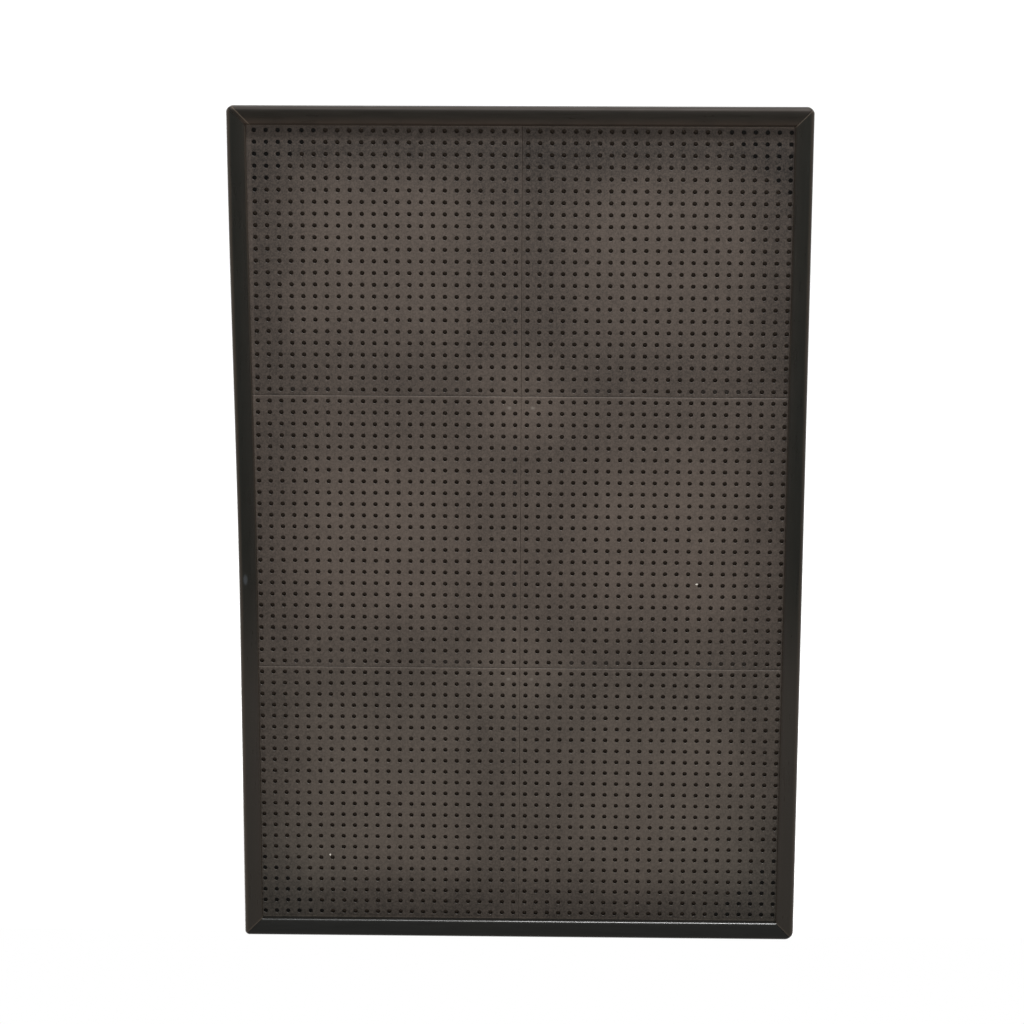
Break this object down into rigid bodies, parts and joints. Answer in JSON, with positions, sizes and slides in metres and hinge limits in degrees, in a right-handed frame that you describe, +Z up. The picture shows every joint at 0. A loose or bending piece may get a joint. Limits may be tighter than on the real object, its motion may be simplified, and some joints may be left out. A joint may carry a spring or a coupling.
{
  "type": "framed pegboard display panel",
  "caption": "Flat wall-hung display panel: perforated square tiles on a half-inch hole grid, set behind the lip of a mitred black frame.",
  "frame": {"origin": "centre of the bounding box, halfway up, across and through the panel", "axes": "+Z up the panel, +X to the right seen from the front, the front faces -Y"},
  "size_m": [0.62, 0.0194, 0.93],
  "materials": {
    "black_lacquer": "black satin lacquer on wood",
    "tile_plastic": "fine matt moulded plastic, warm dark grey",
    "painted_block": "black paint on wood",
    "hardboard": "smooth brown hardboard",
    "zinc_steel": "zinc-plated steel",
    "screw_steel": "zinc-plated steel, slightly yellow",
    "key_steel": "bare steel strip"
  },
  "bodies": {
    "root": {"rail_top": "black_lacquer", "rail_bottom": "black_lacquer", "rail_left": "black_lacquer", "rail_right": "black_lacquer", "tile_top_left": "tile_plastic", "tile_top_right": "tile_plastic", "tile_middle_left": "tile_plastic", "tile_middle_right": "tile_plastic", "tile_bottom_left": "tile_plastic", "tile_bottom_right": "tile_plastic", "corner_block_top_left": "painted_block", "corner_block_top_right": "painted_block", "corner_block_bottom_left": "painted_block", "corner_block_bottom_right": "painted_block", "hanger_plate_left": "zinc_steel", "hanger_plate_right": "zinc_steel", "back_board": "hardboard", "back_board_screws": "screw_steel", "tile_screws": "screw_steel", "hanger_screws": "screw_steel", "mitre_keys": "key_steel"}
  },
  "joints": []
}
